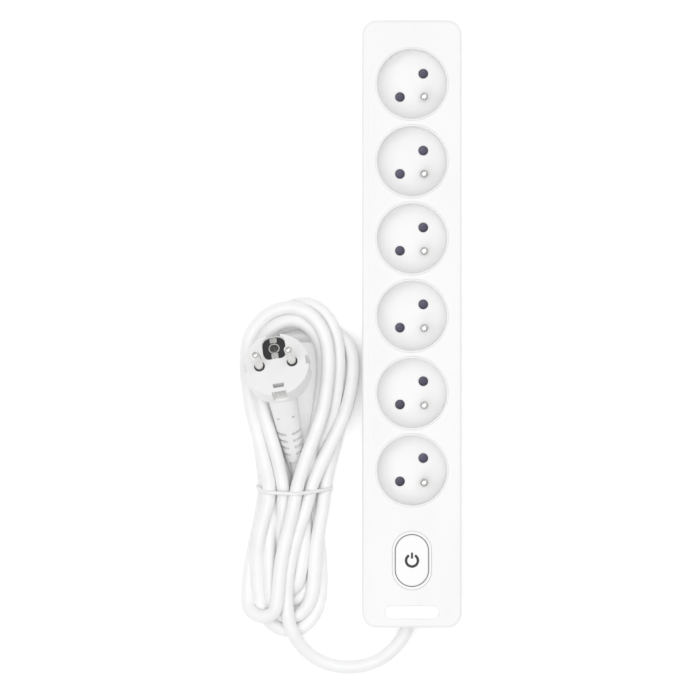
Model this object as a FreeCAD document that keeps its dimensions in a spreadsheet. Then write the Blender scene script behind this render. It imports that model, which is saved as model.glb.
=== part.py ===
import FreeCAD, Part
import math
import os
import re
import Sketcher

# A six-way socket strip with a push switch, and its lead, tied in a hank, with its plug.
# Frame: X across the strip, Y along it with the switch and the lead at -Y, Z up from the
# surface that it all lies on. The origin is under the middle of the housing. Millimetres.

Vector = FreeCAD.Vector
UP = Vector(0, 0, 1)
BACK = Vector(0, 1, 0)

DIMENSIONS = {
    # housing
    "body_width": 57, "body_length": 348, "body_top": 38, "body_corner": 8.2,
    "foot_gap": 1, "parting_level": 9, "wall": 2.2, "roof": 3, "edge_round": 1.6,
    "base_round": 1.2, "lip_width": 1, "lip_height": 1.6, "lip_play": 0.15,
    # dished field round the sockets
    "dish_half": 23, "dish_depth": 1.2, "step_half": 24, "step_depth": 0.3,
    # sockets
    "pitch": 44.3, "first_socket": -83.9, "recess_radius": 20, "recess_depth": 15,
    "cup_wall": 1.1, "cup_play": 0.03, "cup_sink": 0.1, "cup_floor": 2.3,
    "cup_flange": 22, "flange_thick": 1.2, "rim_round": 0.5,
    "pin_angle": 45, "pin_pitch": 19, "hole_radius": 2.8, "hole_flare": 0.4,
    "earth_offset": 10, "earth_radius": 2.4, "earth_length": 14, "earth_play": 0.05,
    "earth_shoulder": 3.4, "shoulder_thick": 1.4, "tip_round": 1.9, "pin_neck": 2.2,
    "pin_step": 0.2,
    # shutter, its guide and its spring
    "shutter_length": 26, "shutter_back": 4.5, "shutter_front": 3.1, "shutter_thick": 2,
    "shutter_ramp": 1, "shutter_edge": 0.6, "shutter_gap": 0.2, "shutter_travel": 6,
    "guide_length": 33, "guide_front": 5.5, "guide_back": 15.5, "guide_floor": 1.7,
    "guide_side": 0.3, "guide_hole": 3.2, "spring_seat": 13.6, "spring_slot": 2.6,
    "shutter_coil": 0.8, "shutter_wire": 0.175, "shutter_turns": 6, "spring_play": 0.05,
    # busbars and the ribs that carry them
    "contact_gap": 2.45, "bar_thick": 1, "bar_level": 6.5, "bar_height": 6, "leaf_thick": 0.6,
    "leaf_height": 5.5, "bar_tail": 24, "bar_head": 10, "earth_bar_x": 16,
    "earth_bar_width": 4, "earth_bar_level": 14.6, "earth_bar_thick": 1, "earth_tail": 26,
    "earth_tab": 5, "rib_thick": 1.6, "rib_width": 28, "rib_top": 8.8, "rib_play": 0.1,
    # screws and feet
    "post_x": 22, "post_end": 166, "post_near": 110, "post_radius": 3.5, "sleeve_radius": 4,
    "post_play": 0.2, "head_radius": 2.7, "head_height": 2, "head_level": 2.4,
    "head_play": 0.3, "shank_radius": 1.4, "shank_length": 15, "shank_play": 0.05,
    "drive_width": 0.8, "drive_length": 3.4, "drive_depth": 0.9,
    "foot_x": 19, "foot_end": 148, "foot_radius": 4.5, "foot_height": 2, "foot_play": 0.1,
    # blank label field on the underside
    "label_width": 28, "label_length": 80, "label_corner": 2, "label_depth": 0.3,
    # switch
    "switch_y": -135.5, "button_width": 18.9, "button_length": 29.5, "button_gap": 0.35,
    "button_proud": 0.6, "button_height": 5.6, "button_skin": 2, "button_wall": 1.5,
    "button_round": 0.9, "bezel_width": 22.6, "bezel_length": 33.8, "bezel_proud": 0.15,
    "bezel_flange": 1.4, "bezel_ledge": 1.2, "bezel_play": 0.1, "bezel_round": 0.4,
    "switch_level": 6, "switch_width": 22, "switch_length": 32, "switch_height": 21.8,
    "switch_wall": 1.6, "lid_thick": 1.6, "stem_width": 6.6, "stem_length": 10.6,
    "stem_play": 0.3, "plate_width": 12, "plate_length": 20, "plate_thick": 2,
    "plate_gap": 0.3, "yoke_width": 16, "yoke_length": 5, "yoke_level": 21.2,
    "bridge_x": 5.5, "bridge_width": 4, "bridge_length": 17, "bridge_thick": 1,
    "terminal_level": 15.1, "terminal_thick": 0.8, "terminal_width": 4,
    "terminal_inner": 4, "terminal_outer": 17.2, "stud_radius": 1.6, "stud_y": 6.5,
    "stud_height": 0.6, "terminal_play": 0.1, "switch_coil": 2.3, "switch_wire": 0.3,
    "switch_turns": 6, "rail_x": 7, "rail_width": 2,
    # power symbol, let into the button
    "symbol_radius": 4.15, "symbol_stroke": 1.5, "symbol_opening": 60, "symbol_bar": 3.5,
    "symbol_bar_width": 1.2, "symbol_bar_top": 4.6, "symbol_deep": 0.4, "symbol_proud": 0.05,
    # badge
    "badge_width": 31.3, "badge_length": 7.6, "badge_y": -165.2, "badge_thick": 1,
    "badge_corner": 3.79, "badge_sink": 0.8, "badge_play": 0.03, "badge_round": 0.3,
    # lead, gland and clamp
    "cord_radius": 3.9, "cord_level": 11, "cord_play": 0.1, "collar_radius": 6.9,
    "collar_length": 1.2, "neck_radius": 5.9, "neck_play": 0.1, "inner_flange": 7.2,
    "flange_length": 1.6, "taper_root": 5.4, "taper_end": 4.7, "taper_length": 6,
    "clamp_y": -162, "clamp_length": 4, "clamp_width": 24, "clamp_split": 12,
    "clamp_top": 17, "clamp_screw_x": 8.5, "clamp_screw_end": 5, "core_radius": 1.2,
    # hank and tie
    "hank_height": 21, "hank_edge": 3, "hank_clearance": 0.5, "tie_x": -67.3, "tie_y": -95.3,
    "tie_width": 45, "tie_height": 18, "tie_band": 2.2, "tie_thick": 1, "tie_corner": 5,
    "tie_lean": 12, "tie_turn": 2, "tie_gap": 0.1, "tie_level": 0.5,
    # plug
    "plug_x": -78, "plug_y": -22.9, "plug_level": 37.3, "plug_yaw": 9, "plug_pitch": -4,
    "plug_roll": -24, "plug_radius": 19.2, "plug_depth": 18, "plug_back_round": 6,
    "plug_face_round": 0.8, "plug_pin_radius": 2.4, "plug_pin_length": 19,
    "plug_pin_root": 8, "plug_pin_play": 0.02, "plug_hole_radius": 3, "plug_hole_depth": 15,
    "plug_tube_wall": 0.4, "plug_pocket": 13.5, "plug_pocket_depth": 1.2,
    "plug_pocket_round": 3, "clip_width": 5.5, "clip_thick": 0.8, "clip_length": 9,
    "notch_width": 8.5, "notch_depth": 2.2, "notch_length": 9.5, "notch_over": 1,
    "guide_notch_width": 5.5, "guide_notch_depth": 2, "face_slot_width": 6.3,
    "face_slot_length": 2.6,
    "face_slot_y": -13.4, "face_slot_depth": 6, "tail_angle": 52, "tail_y": -8,
    "tail_z": -11, "tail_length": 49, "tail_root": 9, "tail_end": 6, "tail_bore": 8,
    "groove_pitch": 4.6, "groove_width": 1.8, "groove_core": 5, "groove_spine": 3.2,
    "groove_first": 29, "dimple_radius": 0.75, "dimple_gap": 8.7, "dimple_at": 19,
}

SOCKETS = range(1, 7)
TAIL_GROOVES = 4
# How much of the shorter run beside a point its arc takes.
ARC_SHARE = 0.45

# The lead: out of the clamp and the gland, down to the surface and round to the hank.
LEAD_ROUTE = [
    (0, -159.5, 11), (0, -175.5, 11), (-14.5, -194, 6.5), (-36, -200.5, 4),
    (-57.5, -194.5, 5.5), (-70.5, -177.5, 11.5), (-72.5, -159, 12.5),
]
# The hank seen from above, and the opening inside its upper turns.
HANK_OUTLINE = [
    (-89, -84), (-98.5, -50), (-99, -8), (-86, 12), (-60, 15.5), (-36, 9), (-28.5, -14),
    (-29, -50), (-45.5, -84), (-45.5, -112), (-44, -150), (-52, -180), (-76, -185.5),
    (-97, -171), (-99, -140), (-89, -110),
]
HANK_OPENING = [
    (-84, -50), (-86, -20), (-78, 0), (-62, 2), (-49, -14), (-50, -44), (-64, -66),
]
# The cores of the lead inside the housing. The live one's are mirrored for the neutral.
CORE_TO_SWITCH = [
    (1.9, -159.5, 11.6), (1.9, -157.3, 11.6), (5.5, -155, 15.5), (5.5, -152.7, 15.5),
]
CORE_TO_BUSBAR = [
    (5.5, -118.3, 15.5), (5.5, -116, 15.5), (9.67, -111, 9.5), (9.67, -107.9, 9.5),
]
CORE_TO_EARTH = [
    (0, -159.5, 8.8), (0, -157, 8.8), (14.5, -154, 8.5), (14.5, -126, 10), (16, -114, 15.1),
    (16, -109.9, 15.1),
]

doc = FreeCAD.newDocument("socket_strip")
dims = doc.addObject("Spreadsheet::Sheet", "dims")
NODES = []


def fill_sheet():
    """One row for each driving dimension: its name, and its value with that name as alias."""
    for row, (name, value) in enumerate(DIMENSIONS.items(), 1):
        dims.set(f"A{row}", name)
        dims.set(f"B{row}", str(value))
        dims.setAlias(f"B{row}", name)
    doc.recompute()


def bound(text):
    """An expression in which each dimension's name is read from the sheet."""
    words = re.compile(r"[a-z][a-z_]*")
    return words.sub(lambda w: "dims." + w[0] if w[0] in DIMENSIONS else w[0], str(text))


def size(text):
    """The value of an expression now, for sketch geometry and for shapes made in code."""
    return float(dims.evalExpression(bound(text)))


def bind(made, **expressions):
    for name, text in expressions.items():
        made.setExpression(name, bound(text))
    return made


def place(made, x=0, y=0, z=0, rotation=None):
    if rotation is not None:
        made.Placement.Rotation = rotation
    for axis, text in zip("xyz", (x, y, z)):
        made.setExpression(f"Placement.Base.{axis}", bound(text))
    return made


def node(made, label):
    """Keeps a finished sub-part under the name of its file."""
    made.Label = label
    NODES.append(made)
    return made


# ---- primitives and booleans ----


def block(width, length, height, x=0, y=0, z=0):
    """A box centred on x and y that stands on z."""
    made = bind(doc.addObject("Part::Box", "block"), Length=width, Width=length, Height=height)
    return place(made, f"({x}) - ({width}) / 2", f"({y}) - ({length}) / 2", z)


def rod(radius, height, x=0, y=0, z=0, along=UP):
    """A cylinder that starts at x, y, z and runs along a direction."""
    made = bind(doc.addObject("Part::Cylinder", "rod"), Radius=radius, Height=height)
    return place(made, x, y, z, FreeCAD.Rotation(UP, along))


def cone(start, end, height, x=0, y=0, z=0, along=UP):
    made = bind(doc.addObject("Part::Cone", "cone"), Radius1=start, Radius2=end, Height=height)
    return place(made, x, y, z, FreeCAD.Rotation(UP, along))


def obround(width, length, height, x=0, y=0, z=0):
    """An upright plate with round ends, longer in Y."""
    reach = f"(({length}) - ({width})) / 2"
    return fuse(
        block(width, f"({length}) - ({width})", height, x, y, z),
        rod(f"({width}) / 2", height, x, f"({y}) + {reach}", z),
        rod(f"({width}) / 2", height, x, f"({y}) - {reach}", z),
    )


def fuse(*pieces):
    made = doc.addObject("Part::MultiFuse", "joined")
    made.Shapes = list(pieces)
    return made


def cut(base, *tools):
    made = doc.addObject("Part::Cut", "trimmed")
    made.Base = base
    made.Tool = tools[0] if len(tools) == 1 else fuse(*tools)
    return made


def coil(radius, wire, turns, height):
    """A compression spring that stands on its own XY plane: a round wire swept along a helix."""
    helix = doc.addObject("Part::Helix", "helix")
    bind(helix, Radius=radius, Height=height, Pitch=f"({height}) / {turns}")
    ring = bind(doc.addObject("Part::Circle", "wire_section"), Radius=wire)
    place(ring, radius, 0, 0, FreeCAD.Rotation(Vector(1, 0, 0), 90))
    made = doc.addObject("Part::Sweep", "coil")
    made.Sections = [ring]
    made.Spine = (helix, ["Edge1"])
    made.Solid = True
    made.Frenet = True
    return made


# ---- sketches and features ----


def new_body(name):
    return doc.addObject("PartDesign::Body", name)


def sketch(body, plane="XY_Plane", level=0):
    """A sketch on one of the body's own planes, raised along its normal by level."""
    made = body.newObject("Sketcher::SketchObject", "outline")
    support = [f for f in body.Origin.OriginFeatures if f.Role == plane][0]
    made.AttachmentSupport = [(support, "")]
    made.MapMode = "FlatFace"
    made.setExpression("AttachmentOffset.Base.z", bound(level))
    return made


def fix(drawing, kind, *rest):
    """Adds a dimension, whose last value is an expression on the sheet."""
    index = drawing.addConstraint(Sketcher.Constraint(kind, *rest[:-1], size(rest[-1])))
    drawing.setExpression(f"Constraints[{index}]", bound(rest[-1]))


def locate(drawing, item, point, x, y):
    fix(drawing, "DistanceX", -1, 1, item, point, x)
    fix(drawing, "DistanceY", -1, 1, item, point, y)


def circle(drawing, radius, x=0, y=0):
    ring = Part.Circle(Vector(size(x), size(y), 0), UP, size(radius))
    item = drawing.addGeometry(ring)
    fix(drawing, "Radius", item, radius)
    locate(drawing, item, 3, x, y)


def polygon(drawing, points):
    """A closed outline of straight sides through points given as pairs of expressions."""
    corners = [Vector(size(x), size(y), 0) for x, y in points]
    sides = [
        drawing.addGeometry(Part.LineSegment(start, end))
        for start, end in zip(corners, corners[1:] + corners[:1])
    ]
    for side, following in zip(sides, sides[1:] + sides[:1]):
        drawing.addConstraint(Sketcher.Constraint("Coincident", side, 2, following, 1))
    for side, (x, y) in zip(sides, points):
        locate(drawing, side, 1, x, y)


def rounded_rectangle(drawing, width, length, corner, x=0, y=0):
    """Four tangent corner arcs, anticlockwise from the upper right, and the sides between."""
    reach_x = f"(({width}) / 2 - ({corner}))"
    reach_y = f"(({length}) / 2 - ({corner}))"
    centres = [
        (f"({x}) {a} {reach_x}", f"({y}) {b} {reach_y}")
        for a, b in (("+", "+"), ("-", "+"), ("-", "-"), ("+", "-"))
    ]
    arcs = []
    for quarter, (centre_x, centre_y) in enumerate(centres):
        ring = Part.Circle(Vector(size(centre_x), size(centre_y), 0), UP, size(corner))
        start = quarter * math.pi / 2
        arcs.append(drawing.addGeometry(Part.ArcOfCircle(ring, start, start + math.pi / 2)))
    for arc, following in zip(arcs, arcs[1:] + arcs[:1]):
        start = drawing.getPoint(arc, 2)
        end = drawing.getPoint(following, 1)
        side = drawing.addGeometry(Part.LineSegment(start, end))
        drawing.addConstraint(Sketcher.Constraint("Tangent", arc, 2, side, 1))
        drawing.addConstraint(Sketcher.Constraint("Tangent", side, 2, following, 1))
    for arc, (centre_x, centre_y) in zip(arcs, centres):
        locate(drawing, arc, 3, centre_x, centre_y)
    fix(drawing, "Radius", arcs[0], corner)


def slot(drawing, width, length, x=0, y=0):
    """A round-ended outline, longer in Y."""
    reach = f"(({length}) - ({width})) / 2"
    centres = [(x, f"({y}) + {reach}"), (x, f"({y}) - {reach}")]
    ends = []
    for half, (centre_x, centre_y) in enumerate(centres):
        ring = Part.Circle(Vector(size(centre_x), size(centre_y), 0), UP, size(f"({width}) / 2"))
        start = half * math.pi
        ends.append(drawing.addGeometry(Part.ArcOfCircle(ring, start, start + math.pi)))
    for end, following in zip(ends, ends[1:] + ends[:1]):
        start = drawing.getPoint(end, 2)
        side = drawing.addGeometry(Part.LineSegment(start, drawing.getPoint(following, 1)))
        drawing.addConstraint(Sketcher.Constraint("Tangent", end, 2, side, 1))
        drawing.addConstraint(Sketcher.Constraint("Tangent", side, 2, following, 1))
    for end, (centre_x, centre_y) in zip(ends, centres):
        locate(drawing, end, 3, centre_x, centre_y)
    fix(drawing, "Radius", ends[0], f"({width}) / 2")


def pad(body, drawing, height):
    made = body.newObject("PartDesign::Pad", "pad")
    made.Profile = drawing
    bind(made, Length=height)
    doc.recompute()
    return made


def pocket(body, drawing, depth, upwards=False):
    """Cuts along the sketch's normal, down unless upwards, and makes sure that it cut."""
    before = body.Shape.Volume
    made = body.newObject("PartDesign::Pocket", "pocket")
    made.Profile = drawing
    made.Reversed = upwards
    bind(made, Length=depth)
    doc.recompute()
    if body.Shape.Volume >= before:
        raise RuntimeError(f"a pocket in {body.Label} cut nothing")
    return made


def revolve(body, drawing):
    made = body.newObject("PartDesign::Revolution", "turned")
    made.Profile = drawing
    made.ReferenceAxis = (drawing, ["V_Axis"])
    made.Angle = 360
    doc.recompute()
    return made


def level_edges(shape, level):
    """The names of the shape's edges that lie flat at a level."""
    flat = []
    for number, edge in enumerate(shape.Edges, 1):
        box = edge.BoundBox
        if abs(box.ZMin - level) < 1e-4 and abs(box.ZMax - level) < 1e-4:
            flat.append(f"Edge{number}")
    return flat


def dress(body, kind, level, amount, keep=None):
    """Fillets or chamfers the flat edges at a level, or those of them that keep accepts."""
    base = body.Tip
    names = level_edges(base.Shape, size(level))
    if keep is not None:
        names = [n for n in names if keep(base.Shape.getElement(n))]
    made = body.newObject(f"PartDesign::{kind}", kind.lower())
    made.Base = (base, names)
    bind(made, **{"Radius" if kind == "Fillet" else "Size": amount})
    doc.recompute()
    return made


# ---- routes of wires and cords, and the hank's plan ----


def corner_arc(before, here, after):
    """The start, middle and end of the arc at a point between two runs, and its radius."""
    back = before - here
    ahead = after - here
    half_turn = (math.pi - back.getAngle(ahead)) / 2
    reach = ARC_SHARE * min(back.Length, ahead.Length)
    radius = reach / math.tan(half_turn)
    back.normalize()
    ahead.normalize()
    inward = (back + ahead).normalize()
    middle = here + inward * (radius / math.cos(half_turn) - radius)
    return here + back * reach, middle, here + ahead * reach, radius


def route_wire(points):
    """Straight runs through the points, joined by tangent arcs, and the arcs' radii."""
    points = [Vector(*p) for p in points]
    edges = []
    radii = []
    at = points[0]
    for before, here, after in zip(points, points[1:], points[2:]):
        start, middle, end, radius = corner_arc(before, here, after)
        edges += [Part.LineSegment(at, start).toShape(), Part.Arc(start, middle, end).toShape()]
        radii.append(radius)
        at = end
    edges.append(Part.LineSegment(at, points[-1]).toShape())
    return Part.Wire(edges), radii


def tube(points, radius):
    """A round solid along a route, whose volume is its section times its length."""
    path, radii = route_wire(points)
    first = Vector(*points[1]) - Vector(*points[0])
    ring = Part.Wire([Part.Circle(Vector(*points[0]), first, radius).toShape()])
    solid = path.makePipeShell([ring], True, True)
    share = solid.Volume / (math.pi * radius**2 * path.Length)
    if abs(share - 1) > 0.01:
        raise RuntimeError(f"a tube has {share:.3f} of its section times its length")
    return solid, path.Length, radii


def from_code(shape, label):
    """A sub-part whose free-form shape is made in code from sizes on the sheet."""
    made = doc.addObject("Part::Feature", "formed")
    made.Shape = shape
    return node(made, label)


def closed_plan(points):
    """A flat face whose corners are rounded as a route's are."""
    points = [Vector(*p) for p in points]
    arcs = [
        corner_arc(before, here, after)
        for before, here, after in zip(points[-1:] + points, points, points[1:] + points[:1])
    ]
    edges = []
    for (start, middle, end, _), (following, _, _, _) in zip(arcs, arcs[1:] + arcs[:1]):
        edges += [Part.Arc(start, middle, end).toShape(), Part.LineSegment(end, following).toShape()]
    return Part.Face(Part.Wire(edges))


# ---- where things repeat ----


def socket_y(number):
    return f"(first_socket + {number - 1} * pitch)"


RECESS_FLOOR = "(body_top - cup_sink - recess_depth)"
CUP_UNDERSIDE = f"({RECESS_FLOOR} - cup_floor)"
PIN_X = "(pin_pitch / 2 * cos(pin_angle))"
PIN_Y = "(pin_pitch / 2 * sin(pin_angle))"
EARTH_X = "(earth_offset * sin(pin_angle))"
EARTH_Y = "(-earth_offset * cos(pin_angle))"
CEILING = "(body_top - roof)"
INNER_FLOOR = "(foot_gap + wall)"
POSTS = [
    (f"{side}post_x", y)
    for y in ("post_end", "first_socket + 2.5 * pitch", "-post_near", "-post_end")
    for side in ("", "-")
]
FEET = [(f"{side}foot_x", y) for y in ("foot_end", "0", "-foot_end") for side in ("", "-")]
RIBS = [f"first_socket + {number - 0.5} * pitch" for number in range(6)]


def on_pin_line(made, number, level):
    """Turns a sub-part to the socket's pin line and puts it under or in that socket."""
    return place(made, 0, socket_y(number), level, FreeCAD.Rotation(UP, size("pin_angle")))


# ---- housing ----


def gland_hole():
    length = "3 * wall"
    return rod("neck_radius + neck_play", length, 0, "-body_length / 2 - wall", "cord_level", BACK)


def bottom_cover():
    """The tray: floor, walls and lip, screw sleeves, busbar ribs, switch rails and cradle."""
    body = new_body("tray")
    outline = sketch(body, level="foot_gap")
    rounded_rectangle(outline, "body_width", "body_length", "body_corner")
    pad(body, outline, "parting_level - foot_gap")
    dress(body, "Fillet", "foot_gap", "base_round")
    hollow = sketch(body, level=INNER_FLOOR)
    rounded_rectangle(hollow, "body_width - 2 * wall", "body_length - 2 * wall", "body_corner - wall")
    pocket(body, hollow, "parting_level", upwards=True)
    lip = sketch(body, level="parting_level")
    for extra in ("2 * lip_width", "0"):
        rounded_rectangle(
            lip, f"body_width - 2 * wall + {extra}", f"body_length - 2 * wall + {extra}",
            f"body_corner - wall + {extra} / 2",
        )
    pad(body, lip, "lip_height")
    label = sketch(body, level="foot_gap")
    rounded_rectangle(label, "label_width", "label_length", "label_corner")
    pocket(body, label, "label_depth", upwards=True)
    feet = sketch(body, level="foot_gap")
    for x, y in FEET:
        circle(feet, "foot_radius + foot_play", x, y)
    pocket(body, feet, "foot_height - foot_gap", upwards=True)
    height = f"parting_level - {INNER_FLOOR}"
    added = [rod("sleeve_radius", height, x, y, INNER_FLOOR) for x, y in POSTS]
    added += [
        block("rib_width", "rib_thick", f"rib_top - {INNER_FLOOR}", 0, y, INNER_FLOOR) for y in RIBS
    ]
    added += [
        block("rail_width", "switch_length", f"switch_level - {INNER_FLOOR}", x, "switch_y", INNER_FLOOR)
        for x in ("rail_x", "-rail_x")
    ]
    added.append(block("clamp_width", "clamp_length", height, 0, "clamp_y", INNER_FLOOR))
    bores = [gland_hole(), cord_bore("clamp_y - clamp_length", "2 * clamp_length")]
    for x, y in POSTS:
        bores.append(rod("head_radius + head_play", "head_level + head_height", x, y, 0))
        bores.append(rod("shank_radius + head_play", "parting_level + 1", x, y, 0))
    for y in RIBS:
        for side in ("", "-"):
            middle = f"{side}({PIN_X} + contact_gap + bar_thick / 2)"
            bores.append(
                block("bar_thick + 2 * rib_play", "2 * rib_thick", "bar_height", middle, y, "bar_level")
            )
    bores += clamp_screw_holes("parting_level")
    node(cut(fuse(body, *added), *bores), "bottom_cover")


def cord_bore(start, length):
    """The round way that the lead takes through a part."""
    return rod("cord_radius + cord_play", length, 0, start, "cord_level", BACK)


def clamp_screw_holes(top):
    return [
        rod("shank_radius + shank_play", f"{top} - clamp_screw_end + 1", x, "clamp_y", "clamp_screw_end")
        for x in ("clamp_screw_x", "-clamp_screw_x")
    ]


def dish():
    """A long cylinder and a ball at each end, which hollow the roof by an obround dish."""
    radius = "(dish_half ^ 2 + dish_depth ^ 2) / (2 * dish_depth)"
    level = f"body_top - step_depth - dish_depth + {radius}"
    field = "5 * pitch"
    pieces = [rod(radius, field, 0, "first_socket", level, BACK)]
    for y in ("first_socket", f"first_socket + {field}"):
        ball = bind(doc.addObject("Part::Sphere", "ball"), Radius=radius)
        pieces.append(place(ball, 0, y, level))
    return fuse(*pieces)


def top_cover():
    """The upper housing: walls, roof with the dished socket field, and screw posts."""
    body = new_body("shell")
    outline = sketch(body, level="parting_level")
    rounded_rectangle(outline, "body_width", "body_length", "body_corner")
    pad(body, outline, "body_top - parting_level")
    dress(body, "Fillet", "body_top", "edge_round")
    hollow = sketch(body, level="parting_level")
    rounded_rectangle(hollow, "body_width - 2 * wall", "body_length - 2 * wall", "body_corner - wall")
    pocket(body, hollow, f"{CEILING} - parting_level", upwards=True)
    rebate = sketch(body, level="parting_level")
    reach = "2 * (wall - lip_width - lip_play)"
    rounded_rectangle(
        rebate, f"body_width - {reach}", f"body_length - {reach}", f"body_corner - {reach} / 2"
    )
    pocket(body, rebate, "lip_height + lip_play", upwards=True)
    posts = sketch(body, level="parting_level + post_play")
    for x, y in POSTS:
        circle(posts, "post_radius", x, y)
    pad(body, posts, f"{CEILING} - parting_level - post_play")
    step = sketch(body, level="body_top")
    slot(step, "2 * step_half", "2 * step_half + 5 * pitch", 0, "first_socket + 2.5 * pitch")
    pocket(body, step, "step_depth")
    sockets = sketch(body, level="body_top")
    for number in SOCKETS:
        circle(sockets, "recess_radius + cup_wall + cup_play", 0, socket_y(number))
    pocket(body, sockets, "2 * roof")
    button = sketch(body, level="body_top")
    slot(button, "bezel_width + 2 * bezel_play", "bezel_length + 2 * bezel_play", 0, "switch_y")
    pocket(body, button, "2 * roof")
    badge = sketch(body, level="body_top")
    rounded_rectangle(
        badge, "badge_width + 2 * badge_play", "badge_length + 2 * badge_play",
        "badge_corner + badge_play", 0, "badge_y",
    )
    pocket(body, badge, "badge_sink")
    bores = [
        rod("shank_radius + shank_play", "head_level + head_height + shank_length", x, y, 0)
        for x, y in POSTS
    ]
    node(cut(body, dish(), gland_hole(), *bores), "top_cover")


def rubber_feet():
    pieces = [rod("foot_radius", "foot_height", x, y, 0) for x, y in FEET]
    node(fuse(*pieces), "rubber_feet")


def cross_screw(x, y, level, shank, upwards):
    """A pan-head screw with a cross drive, whose shank runs up or down from its head."""
    along = UP if upwards else -UP
    sign = "+" if upwards else "-"
    head = rod("head_radius", "head_height", x, y, level, along)
    body = rod("shank_radius", f"head_height + {shank}", x, y, level, along)
    bottom = f"({level}) {sign} drive_depth / 2 - drive_depth / 2"
    drives = [
        block("drive_width", "drive_length", "drive_depth", x, y, bottom),
        block("drive_length", "drive_width", "drive_depth", x, y, bottom),
    ]
    return cut(fuse(head, body), *drives)


def cover_screws():
    pieces = [cross_screw(x, y, "head_level", "shank_length", True) for x, y in POSTS]
    node(fuse(*pieces), "cover_screws")


def badge_plate():
    body = new_body("badge")
    outline = sketch(body)
    rounded_rectangle(outline, "badge_width", "badge_length", "badge_corner")
    pad(body, outline, "badge_thick")
    dress(body, "Fillet", "badge_thick", "badge_round")
    node(place(body, 0, "badge_y", "body_top - badge_sink"), "badge_plate")


# ---- sockets ----


def socket_cup(number):
    """A round recess with a flange under the roof, two pin holes and one for the earth pin."""
    body = new_body("cup")
    outer = "recess_radius + cup_wall"
    flange_top = f"{CEILING} - {RECESS_FLOOR}"
    profile = sketch(body, "XZ_Plane")
    polygon(profile, [
        ("0", "-cup_floor"), (outer, "-cup_floor"), (outer, f"{flange_top} - flange_thick"),
        ("cup_flange", f"{flange_top} - flange_thick"), ("cup_flange", flange_top),
        (outer, flange_top), (outer, "recess_depth"), ("recess_radius", "recess_depth"),
        ("recess_radius", "0"), ("0", "0"),
    ])
    revolve(body, profile)
    dress(body, "Fillet", "recess_depth", "rim_round")
    holes = sketch(body)
    circle(holes, "hole_radius", PIN_X, PIN_Y)
    circle(holes, "hole_radius", f"-{PIN_X}", f"-{PIN_Y}")
    pocket(body, holes, "2 * cup_floor")
    hole_size = size("hole_radius")
    dress(body, "Chamfer", "0", "hole_flare", lambda edge: abs(edge.Curve.Radius - hole_size) < 0.01)
    earth = sketch(body)
    circle(earth, "pin_neck + earth_play", EARTH_X, EARTH_Y)
    pocket(body, earth, "2 * cup_floor")
    node(place(body, 0, socket_y(number), RECESS_FLOOR), f"socket_cup_{number}")


def earth_pin(number):
    """The male earth contact: a neck with a shoulder under the cup, and a rounded tip."""
    body = new_body("pin")
    foot = "(earth_bar_level + earth_bar_thick)"
    neck = f"({RECESS_FLOOR} + pin_step - {foot})"
    root = sketch(body)
    circle(root, "pin_neck")
    pad(body, root, neck)
    length = f"({RECESS_FLOOR} + earth_length - {foot})"
    shank = sketch(body, level=neck)
    circle(shank, "earth_radius")
    pad(body, shank, f"{length} - {neck}")
    dress(body, "Fillet", length, "tip_round")
    shoulder = sketch(body, level=f"{CUP_UNDERSIDE} - shoulder_thick - {foot}")
    circle(shoulder, "earth_shoulder")
    pad(body, shoulder, "shoulder_thick")
    y = f"{socket_y(number)} + {EARTH_Y}"
    node(place(body, EARTH_X, y, foot), f"earth_pin_{number}")


def shutter(number):
    """A slider under both pin holes. Its ramp lets two pins push it aside, against the spring."""
    body = new_body("slider")
    profile = sketch(body, "YZ_Plane", "-shutter_length / 2")
    polygon(profile, [
        ("-shutter_front", "0"), ("shutter_back", "0"), ("shutter_back", "shutter_thick"),
        ("shutter_ramp", "shutter_thick"), ("-shutter_front", "shutter_edge"),
    ])
    pad(body, profile, "shutter_length")
    on_pin_line(body, number, f"{CUP_UNDERSIDE} - shutter_gap - shutter_thick")
    node(body, f"shutter_{number}")


def shutter_guide(number):
    """The carrier under a cup: a channel for the slider and a slot for its spring."""
    depth = "(shutter_thick + 2 * shutter_gap)"
    back = "(shutter_back + shutter_travel + guide_side)"
    front = "(shutter_front + guide_side)"
    frame = block(
        "guide_length", "guide_front + guide_back", f"{depth} + guide_floor",
        0, "(guide_back - guide_front) / 2", 0,
    )
    channel = block(
        "shutter_length + 2 * guide_side", f"{front} + {back}", "2 * shutter_thick",
        0, f"({back} - {front}) / 2", "guide_floor",
    )
    seat = block("spring_slot", "spring_seat", "2 * shutter_thick", 0, "spring_seat / 2", "guide_floor")
    holes = [
        rod("guide_hole", "3 * guide_floor", x, 0, "-guide_floor")
        for x in ("pin_pitch / 2", "-pin_pitch / 2")
    ]
    made = cut(frame, channel, seat, *holes)
    on_pin_line(made, number, f"{CUP_UNDERSIDE} - {depth} - guide_floor")
    node(made, f"shutter_guide_{number}")


def shutter_spring(number):
    """Lies in the guide's slot, between the slider's back and the end of the slot."""
    start = "(shutter_back + shutter_wire + spring_play)"
    length = "(spring_seat - shutter_back - 2 * shutter_wire - 2 * spring_play)"
    made = coil("shutter_coil", "shutter_wire", "shutter_turns", length)
    turn = FreeCAD.Rotation(UP, size("pin_angle"))
    x = f"-{start} * sin(pin_angle)"
    y = f"{socket_y(number)} + {start} * cos(pin_angle)"
    level = f"{CUP_UNDERSIDE} - shutter_gap - shutter_thick / 2"
    place(made, x, y, level, turn.multiply(FreeCAD.Rotation(UP, BACK)))
    node(made, f"shutter_spring_{number}")


# ---- busbars ----


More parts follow.
